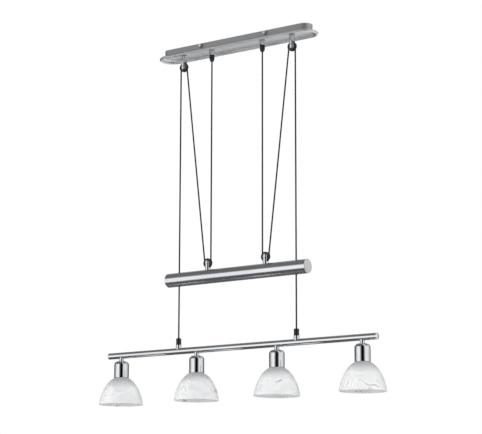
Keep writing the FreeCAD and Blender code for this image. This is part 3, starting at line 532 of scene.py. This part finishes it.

# %% Painted shade at the glass's neck
# Painted shade: the glass's colour turns grey towards its top, where the lampholder inside shuts out the
# light.
SHADE_TOP_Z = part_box("glass_shade_1")[1].z
PAINTED_SHADE_FROM = 0.008               # how far below the top the grey starts to fade
PAINTED_SHADE_TO = 0.031                 # and where it is gone
PAINTED_SHADE_AMOUNT = 0.75
GLASS_RELIEF = 0.0002

place = add(tree, "ShaderNodeTexCoord").outputs["Object"]
height = add(tree, "ShaderNodeSeparateXYZ", {"Vector": place}).outputs["Z"]
painted_shade_mask = add(tree, "ShaderNodeMapRange", {
    "Value": height, "From Min": SHADE_TOP_Z - PAINTED_SHADE_TO, "From Max": SHADE_TOP_Z - PAINTED_SHADE_FROM,
    "To Min": 0.0, "To Max": PAINTED_SHADE_AMOUNT,
}).outputs["Result"]
# The grey that paints the neck's shade into the glass's colour.
glass_with_painted_shade = add(tree, "ShaderNodeMix", {
    "Factor": painted_shade_mask, "A": veined, "B": linear("#9EA2A5"),
}, data_type="RGBA").outputs["Result"]
surface(tree, shader, glass_with_painted_shade, swirls, smooth=0.30, rough=0.42, depth=GLASS_RELIEF)
print(f"the grey is gone {PAINTED_SHADE_TO * 1000:.0f} mm below the shade's top")

# %% [markdown]
# ## Finishes on the CAD pieces
# Each CAD node keeps its shape and gets the finish of what it is made of. The finishes could be
# handed out one by one, but the record already names a slot for each node, so one table does it. The
# nodes that share a slot but not a finish are told apart by name.

# %% Give every CAD node its finish
FINISH_OF_SLOT = {
    "cable": sheath,
    "shade_glass": alabaster,
    "holder_plastic": holder_plastic,
    "terminal_plastic": block_plastic,
    "wheel_plastic": black_polyamide,
    "gland_plastic": gland_polyamide,
    "guide_plastic": black_polyamide,
    "zinc_steel": zinc,
    "canopy_nickel": plate_nickel,
    "satin_nickel": tube_nickel,
    "chrome": chrome,
}
for part in frame["record"]["subparts"]:
    node = frame["nodes"][part["node"]]
    finish_here = FINISH_OF_SLOT[part["material_slot"]]
    if part["node"].startswith("lamp_bar_"):
        finish_here = bar_nickel
    elif part["node"] == "canopy_housing":
        # The housing's wall takes the darker copy of the nickel, as painted shade.
        finish_here = housing_nickel_painted_shade
    for slot in node.material_slots:
        slot.material = finish_here
for cable in cables:
    cable.data.materials.append(sheath)
print(len(frame["nodes"]), "CAD nodes finished")

# %% [markdown]
# ## What repeats
# Threads and knurls repeat the same small shape. Copies could be placed in a loop, but Geometry
# Nodes say it more plainly: the shape once, a set of points, and an instance on each point. The
# result is turned into a plain mesh, because an export drops instances.

# %% Helpers for repeated parts


def new_tree(name, inputs):
    """A geometry tree with named inputs, given as (name, kind, value)."""
    tree = bpy.data.node_groups.new(name, "GeometryNodeTree")
    tree.interface.new_socket("Geometry", in_out="OUTPUT", socket_type="NodeSocketGeometry")
    for label, kind, value in inputs:
        socket = tree.interface.new_socket(label, in_out="INPUT", socket_type=kind)
        if value is not None:
            socket.default_value = value
    return tree, add(tree, "NodeGroupInput").outputs


def close_tree(tree, geometry, material):
    """Realize the instances, shade them smooth and set their material."""
    real = add(tree, "GeometryNodeRealizeInstances", {"Geometry": geometry})
    smooth = add(tree, "GeometryNodeSetShadeSmooth", {"Geometry": real.outputs["Geometry"]})
    painted = add(tree, "GeometryNodeSetMaterial", {
        "Geometry": smooth.outputs["Geometry"], "Material": material,
    })
    add(tree, "NodeGroupOutput", {"Geometry": painted.outputs["Geometry"]})


def grow(name, tree, values, body):
    """Run a tree on an empty mesh with these input values, and keep the result as a plain piece."""
    holder = bpy.data.objects.new(name + "_tree", bpy.data.meshes.new(name))
    bpy.context.scene.collection.objects.link(holder)
    modifier = holder.modifiers.new("grow", "NODES")
    modifier.node_group = tree
    for item in tree.interface.items_tree:
        if item.in_out == "INPUT" and item.name in values:
            modifier[item.identifier] = values[item.name]
    evaluated = holder.evaluated_get(bpy.context.evaluated_depsgraph_get())
    data = bpy.data.meshes.new_from_object(evaluated)
    holder.modifiers.remove(modifier)
    bpy.data.objects.remove(holder)
    piece = bpy.data.objects.new(name, data)
    bpy.context.scene.collection.objects.link(piece)
    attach(piece, body)
    heights = [vertex.co.z for vertex in data.vertices]
    print(f"{name}: {len(data.polygons)} faces, from {min(heights):.4f} to {max(heights):.4f} m")


print("ready to repeat small parts")

# %% [markdown]
# ### Screw threads
# An E14 bulb screws into a metal thread with a pitch of 2.82 mm, and the shade's ring screws onto
# the outside of the holder. Both show from below. The grooves could be cut into the CAD solids, but
# that takes many faces. A spiral curve with a round section gives a thread's ridge with few.

# %% The sizes of the threads
LAMPS = 4
SOCKET_R = 0.007                # inside the lampholder
SKIRT_R = 0.014                 # outside it
THREAD_INSET = 0.0001           # how far the wire's middle lies inside the socket's wall
BULB_PITCH = 0.00282
BULB_TURNS = 7.0
BULB_WIRE_R = 0.0006
BULB_THREAD_START = 0.0012      # above the holder's lower edge
RING_PITCH = 0.0025
RING_TURNS = 2.0
RING_WIRE_R = 0.0005
RING_THREAD_START = 0.0013
TURN_CORNERS = 32
WIRE_CORNERS = 8

holder_low, holder_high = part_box("lampholder_1")
first_lamp_x = (holder_low.x + holder_high.x) / 2
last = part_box("lampholder_4")
lamp_pitch = ((last[0].x + last[1].x) / 2 - first_lamp_x) / (LAMPS - 1)
print(f"a lamp every {lamp_pitch * 1000:.1f} mm")

# %% Threads in and on the lampholders
tree, given = new_tree("thread", [
    ("Radius", "NodeSocketFloat", SOCKET_R),
    ("Turns", "NodeSocketFloat", BULB_TURNS),
    ("Height", "NodeSocketFloat", BULB_TURNS * BULB_PITCH),
    ("Wire radius", "NodeSocketFloat", BULB_WIRE_R),
    ("First", "NodeSocketVector", (0.0, 0.0, 0.0)),
    ("Step", "NodeSocketVector", (lamp_pitch, 0.0, 0.0)),
    ("Finish", "NodeSocketMaterial", None),
])
spiral = add(tree, "GeometryNodeCurveSpiral", {
    "Resolution": TURN_CORNERS, "Rotations": given["Turns"], "Start Radius": given["Radius"],
    "End Radius": given["Radius"], "Height": given["Height"],
})
section = add(tree, "GeometryNodeCurvePrimitiveCircle", {
    "Resolution": WIRE_CORNERS, "Radius": given["Wire radius"],
})
wire = add(tree, "GeometryNodeCurveToMesh", {
    "Curve": spiral.outputs["Curve"], "Profile Curve": section.outputs["Curve"], "Fill Caps": True,
})
lamps = add(tree, "GeometryNodeMeshLine", {
    "Count": LAMPS, "Start Location": given["First"], "Offset": given["Step"],
})
threads = add(tree, "GeometryNodeInstanceOnPoints", {
    "Points": lamps.outputs["Mesh"], "Instance": wire.outputs["Mesh"],
})
close_tree(tree, threads.outputs["Instances"], given["Finish"])

grow("bulb_threads", tree, {
    "Radius": SOCKET_R - THREAD_INSET, "Turns": BULB_TURNS, "Height": BULB_TURNS * BULB_PITCH,
    "Wire radius": BULB_WIRE_R, "First": (first_lamp_x, 0.0, holder_low.z + BULB_THREAD_START),
    "Step": (lamp_pitch, 0.0, 0.0), "Finish": zinc,
}, "lamp_bar")
grow("ring_threads", tree, {
    "Radius": SKIRT_R, "Turns": RING_TURNS, "Height": RING_TURNS * RING_PITCH,
    "Wire radius": RING_WIRE_R, "First": (first_lamp_x, 0.0, holder_low.z + RING_THREAD_START),
    "Step": (lamp_pitch, 0.0, 0.0), "Finish": holder_plastic,
}, "lamp_bar")

# %% [markdown]
# ### Knurled screws
# The canopy is held by four side screws that are turned by hand, so their heads are knurled: a ring
# of fine ribs round each. Ribs could be relief in the material, but then the head's outline would
# stay smooth. Here the ribs stand on a circle, and the rings stand on the screws' places.

# %% Where the knurls go
SCREW_HEAD_R = 0.0045
KNURL_LENGTH = 0.0044
KNURL_GAP = 0.0004              # from the housing's wall to the knurl
KNURL_RIBS = 28
RIB_R = 0.00028
RIB_CORNERS = 6

screws_low, screws_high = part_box("canopy_side_screws")
HOUSING_HALF_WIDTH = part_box("canopy_housing")[1].y
screw_x = screws_high.x - SCREW_HEAD_R
screw_z = (screws_low.z + screws_high.z) / 2
knurl_y = HOUSING_HALF_WIDTH + KNURL_GAP + KNURL_LENGTH / 2
print(f"screws at x {screw_x * 1000:.1f} mm, knurls at y {knurl_y * 1000:.1f} mm, to each side")

# %% Knurls on the side screws
tree, given = new_tree("knurl", [
    ("Ribs", "NodeSocketInt", KNURL_RIBS),
    ("Head radius", "NodeSocketFloat", SCREW_HEAD_R),
    ("Rib radius", "NodeSocketFloat", RIB_R),
    ("Length", "NodeSocketFloat", KNURL_LENGTH),
    ("Spacing X", "NodeSocketFloat", 2 * screw_x),
    ("Spacing Y", "NodeSocketFloat", 2 * knurl_y),
    ("Height", "NodeSocketVector", (0.0, 0.0, screw_z)),
    ("Finish", "NodeSocketMaterial", None),
])
rib = add(tree, "GeometryNodeMeshCylinder", {
    "Vertices": RIB_CORNERS, "Radius": given["Rib radius"], "Depth": given["Length"],
})
ring = add(tree, "GeometryNodeMeshCircle", {"Vertices": given["Ribs"], "Radius": given["Head radius"]})
knurl = add(tree, "GeometryNodeInstanceOnPoints", {
    "Points": ring.outputs["Mesh"], "Instance": rib.outputs["Mesh"],
})
lying = add(tree, "GeometryNodeTransform", {
    "Geometry": knurl.outputs["Instances"], "Rotation": (math.pi / 2, 0, 0), "Translation": given["Height"],
})
places = add(tree, "GeometryNodeMeshGrid", {
    "Size X": given["Spacing X"], "Size Y": given["Spacing Y"], "Vertices X": 2, "Vertices Y": 2,
})
heads = add(tree, "GeometryNodeInstanceOnPoints", {
    "Points": places.outputs["Mesh"], "Instance": lying.outputs["Geometry"],
})
close_tree(tree, heads.outputs["Instances"], given["Finish"])
grow("side_screw_knurls", tree, {"Finish": chrome}, "root")

# %% [markdown]
# ### Washers under the canopy
# A thin black washer sits between the plate and each post and gland. It shows as a dark line above
# the chrome. A cylinder with a hole would do, but its sharp lower edge would catch no light. So one
# closed outline with that edge cut off is turned round the upright axis of each.

# %% A ring turned from an outline
TURN_STEPS = 64
SHARP_ANGLE = math.radians(35)  # faces that meet at more than this keep a sharp edge


def turned_ring(name, outline, centres, material, body):
    """A closed (radius, z) outline turned round upright axes at each (x, y) centre."""
    mesh = bmesh.new()
    for x, y in centres:
        rings = []
        for i in range(TURN_STEPS):
            a = 2 * math.pi * i / TURN_STEPS
            ring = [(x + r * math.cos(a), y + r * math.sin(a), z) for r, z in outline]
            rings.append([mesh.verts.new(place) for place in ring])
        for ring, following in zip(rings, rings[1:] + rings[:1]):
            for j in range(len(outline)):
                k = (j + 1) % len(outline)
                face = mesh.faces.new((ring[j], ring[k], following[k], following[j]))
                face.smooth = True
    bmesh.ops.recalc_face_normals(mesh, faces=mesh.faces)
    data = bpy.data.meshes.new(name)
    mesh.to_mesh(data)
    mesh.free()
    data.materials.append(material)
    data.set_sharp_from_angle(angle=SHARP_ANGLE)
    piece = bpy.data.objects.new(name, data)
    bpy.context.scene.collection.objects.link(piece)
    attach(piece, body)
    print(f"{name}: {len(centres)} rings")


print(f"a ring is turned in {TURN_STEPS} steps")

# %% Washers
WASHER_HEIGHT = 0.0009
WASHER_EDGE = 0.0002
WASHER_LIP = 0.0006             # how far a washer stands out from what it holds
WASHER_OVERLAP = 0.0001         # and how far it reaches into it
FERRULE_LENGTH = 0.0125         # from its foot to the plate


def washer_outline(inner, outer, top):
    """A flat washer with its lower edge cut off at a slant."""
    low = top - WASHER_HEIGHT
    return [(inner, top), (inner, low), (outer - WASHER_EDGE, low), (outer, low + WASHER_EDGE), (outer, top)]


plate_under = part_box("canopy_gland_ferrule_right")[0].z + FERRULE_LENGTH
for kind, node in (("post", "canopy_post_right"), ("gland", "canopy_gland_ferrule_right")):
    low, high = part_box(node)
    radius = (high.x - low.x) / 2
    middle = (low.x + high.x) / 2
    outline = washer_outline(radius - WASHER_OVERLAP, radius + WASHER_LIP, plate_under)
    centres = [(-middle, 0), (middle, 0)]
    turned_ring(f"{kind}_washers", outline, centres, black_polyamide, "root")

# %% [markdown]
# ## The studio
# ### The floor and the room
# The object hangs over a pale floor, far below it, in a white room. The camera and the glass see the
# room as white, while the light that it gives off is softer than that. More light would whiten the
# room too, but it would wash out the object, so Light Path nodes tell the rays apart instead.

# %% The floor
FLOOR_Z = -4.60
FLOOR_HALF = 30.0
FLOOR_GLOW = 0.25               # light that the floor adds to what it scatters
FLOOR_LIFT = 0.62               # the same, for the camera's eye alone
SPECKLE = 0.4

floor_finish, tree, shader = finish("pale_floor", Roughness=0.9)
speckle = grain(tree, (SPECKLE, SPECKLE, SPECKLE), detail=2.0)
colour = set_stops(add(tree, "ShaderNodeValToRGB", {"Fac": speckle}), two_tones("#ECECEC", "#EFEFEF"))
tree.links.new(colour, shader.inputs["Base Color"])
shader.inputs["Emission Color"].default_value = linear("#FFFFFF")
camera_only = add(tree, "ShaderNodeLightPath").outputs["Is Camera Ray"]
lifted = add(tree, "ShaderNodeMapRange", {
    "Value": camera_only, "From Min": 0.0, "From Max": 1.0, "To Min": FLOOR_GLOW, "To Max": FLOOR_LIFT,
})
tree.links.new(lifted.outputs["Result"], shader.inputs["Emission Strength"])
floor_mesh = bpy.data.meshes.new("floor")
corners = [(-1, -1), (1, -1), (1, 1), (-1, 1)]
floor_mesh.from_pydata([(x * FLOOR_HALF, y * FLOOR_HALF, FLOOR_Z) for x, y in corners], [], [(0, 1, 2, 3)])
floor_mesh.materials.append(floor_finish)
floor = bpy.data.objects.new("floor", floor_mesh)
bpy.context.scene.collection.objects.link(floor)
floor.visible_glossy = False
print(f"the floor lies {-FLOOR_Z:.1f} m below the ceiling")

# %% The room
ROOM_LIGHT = 0.42

world = bpy.data.worlds.new("white_room")
world.use_nodes = True
tree = world.node_tree
tree.nodes.clear()
path_kind = add(tree, "ShaderNodeLightPath").outputs
mirrored = add(tree, "ShaderNodeMath", {
    0: path_kind["Is Glossy Ray"], 1: path_kind["Is Transmission Ray"],
}, operation="MAXIMUM").outputs["Value"]
seen = add(tree, "ShaderNodeMath", {
    0: path_kind["Is Camera Ray"], 1: mirrored,
}, operation="MAXIMUM").outputs["Value"]
soft = add(tree, "ShaderNodeBackground", {"Color": linear("#FFFFFF"), "Strength": ROOM_LIGHT})
white = add(tree, "ShaderNodeBackground", {"Color": linear("#FFFFFF"), "Strength": 1.0})
room = add(tree, "ShaderNodeMixShader", {"Fac": seen})
tree.links.new(soft.outputs["Background"], room.inputs[1])
tree.links.new(white.outputs["Background"], room.inputs[2])
add(tree, "ShaderNodeOutputWorld", {"Surface": room.outputs["Shader"]})
bpy.context.scene.world = world
print(f"the room looks white and lights at {ROOM_LIGHT}")

# %% [markdown]
# ### The tent
# Metal in an all white room looks like plaster, because it shows nothing but white. So a tent stands
# round the object, as in a photographer's studio, and each part of it becomes one band on every tube
# and cup. Many panels would do it too, but then each needs its own place and size, and one painted
# sphere needs none. Only mirror-like surfaces see it. It is bright at the left and the right, and
# black where the camera stands. Its brightness is given round it at five levels: high above, at the
# object's height, two levels below, and the foot, which is bright all round.

# %% How bright the tent is
# Each level has (azimuth, brightness) stops. Azimuth 0 is the front and 90 the right-hand end. The
# TOP values are the elevations, in degrees, at which one level goes over into the next.
ABOVE = [
    (-180, 0.4), (-130, 0.4), (-108, 0.18), (16, 0.17), (27, 0.03), (46, 0.03), (66, 0.9), (150, 0.9),
    (164, 0.2),
]
RING = [
    (-180, 0.06), (-110, 0.05), (-88, 0.08), (-70, 0.6), (-46, 1.1), (-16, 1.35), (1, 0.7), (14, 0.1),
    (27, 0.0), (46, 0.0), (58, 0.35), (72, 1.1), (100, 1.2), (122, 0.9), (146, 0.85), (159, 0.15),
]
LOW_RING = [
    (-180, 1.6), (-174, 2.0), (-156, 2.0), (-144, 0.3), (-118, 0.1), (-88, 0.1), (-66, 0.7), (-44, 1.2),
    (-14, 1.4), (2, 0.6), (16, 0.1), (46, 0.05), (60, 0.4), (74, 1.0), (140, 0.8),
]
BELOW = [
    (-180, 1.6), (-162, 1.6), (-146, 0.12), (0, 0.10), (27, 0.1), (46, 0.1), (70, 0.5), (140, 0.8),
]
FOOT = [(-180, 2.0), (0, 2.0)]
RING_TOP = 21
LOW_RING_TOP = -13
BELOW_TOP = -27
FOOT_TOP = -67
SOFT_EDGE = 3                   # degrees to each side over which one level fades into the next
BRIGHTEST = 2.0                 # the brightness that white in a ramp stands for


def brightness_round(tree, azimuth, stops):
    """Brightness by azimuth: a smooth ramp through the stops, in which white stands for BRIGHTEST."""
    ramp_stops = []
    for angle, brightness in stops:
        grey = brightness / BRIGHTEST
        ramp_stops.append(((angle + 180) / 360, (grey, grey, grey, 1)))
    return set_stops(add(tree, "ShaderNodeValToRGB", {"Fac": azimuth}), ramp_stops)


print(f"the object's own level goes from {LOW_RING_TOP} to {RING_TOP} degrees")

# %% The tent's cloth
STUDIO_MIDDLE = Vector((0, 0, -0.55))

tent_cloth = bpy.data.materials.new("tent_cloth")
tent_cloth.use_nodes = True
tree = tent_cloth.node_tree
tree.nodes.clear()
place = add(tree, "ShaderNodeTexCoord").outputs["Object"]
from_middle = add(tree, "ShaderNodeVectorMath", {0: place, 1: STUDIO_MIDDLE}, operation="SUBTRACT")
towards = add(tree, "ShaderNodeVectorMath", {0: from_middle.outputs["Vector"]}, operation="NORMALIZE")
direction = add(tree, "ShaderNodeSeparateXYZ", {"Vector": towards.outputs["Vector"]}).outputs
front = add(tree, "ShaderNodeMath", {0: direction["Y"], 1: -1.0}, operation="MULTIPLY").outputs["Value"]
angle = add(tree, "ShaderNodeMath", {0: direction["X"], 1: front}, operation="ARCTAN2").outputs["Value"]
azimuth = add(tree, "ShaderNodeMapRange", {
    "Value": angle, "From Min": -math.pi, "From Max": math.pi, "To Min": 0.0, "To Max": 1.0,
}).outputs["Result"]
cloth = brightness_round(tree, azimuth, FOOT)
for stops, lowest in ((BELOW, FOOT_TOP), (LOW_RING, BELOW_TOP), (RING, LOW_RING_TOP), (ABOVE, RING_TOP)):
    fade_from, fade_to = [math.sin(math.radians(lowest + d)) for d in (-SOFT_EDGE, SOFT_EDGE)]
    is_higher = add(tree, "ShaderNodeMapRange", {
        "Value": direction["Z"], "From Min": fade_from, "From Max": fade_to, "To Min": 0.0, "To Max": 1.0,
    })
    cloth = add(tree, "ShaderNodeMix", {
        "Factor": is_higher.outputs["Result"], "A": cloth, "B": brightness_round(tree, azimuth, stops),
    }, data_type="RGBA").outputs["Result"]
glow = add(tree, "ShaderNodeEmission", {"Color": cloth, "Strength": BRIGHTEST})
add(tree, "ShaderNodeOutputMaterial", {"Surface": glow.outputs["Emission"]})
print(f"{tent_cloth.name}: {len(tree.nodes)} nodes")

# %% The tent
TENT_R = 9.0

mesh = bmesh.new()
bmesh.ops.create_uvsphere(mesh, u_segments=64, v_segments=32, radius=TENT_R)
bmesh.ops.translate(mesh, verts=mesh.verts, vec=STUDIO_MIDDLE)
tent_mesh = bpy.data.meshes.new("tent")
mesh.to_mesh(tent_mesh)
mesh.free()
tent_mesh.materials.append(tent_cloth)
tent = bpy.data.objects.new("tent", tent_mesh)
bpy.context.scene.collection.objects.link(tent)
tent.visible_camera = False
tent.visible_diffuse = False
tent.visible_transmission = False
tent.visible_shadow = False
print(f"the tent is {2 * TENT_R:.0f} m across")

# %% [markdown]
# ### Soft lamps
# The tent lights no matt surface, so four large square lamps model the glass and the plastics. The
# brightest stands at the front, beside the camera. Small lamps would give hard shadows, which the
# photograph doesn't show. No surface mirrors them, because the tent already gives the reflections.

# %% Soft lamps


def soft_lamp(name, azimuth, elevation, distance, size, power):
    """A square soft lamp that points at the studio's middle, and that no surface mirrors."""
    a, e = math.radians(azimuth), math.radians(elevation)
    aim = Vector((math.sin(a) * math.cos(e), -math.cos(a) * math.cos(e), math.sin(e)))
    data = bpy.data.lights.new(name, "AREA")
    data.shape = "SQUARE"
    data.size = size
    data.energy = power
    lamp = bpy.data.objects.new(name, data)
    lamp.location = STUDIO_MIDDLE + distance * aim
    lamp.rotation_mode = "QUATERNION"
    lamp.rotation_quaternion = (-aim).to_track_quat("-Z", "Y")
    lamp.visible_glossy = False
    bpy.context.scene.collection.objects.link(lamp)
    print(f"{name}: {power} W, {size} m wide, {distance} m away")


soft_lamp("lamp_key", azimuth=22, elevation=24, distance=3.4, size=1.2, power=52)
soft_lamp("lamp_left", azimuth=-48, elevation=8, distance=3.2, size=1.6, power=26)
soft_lamp("lamp_right", azimuth=112, elevation=8, distance=3.2, size=1.6, power=26)
soft_lamp("lamp_back", azimuth=205, elevation=15, distance=3.4, size=1.6, power=34)
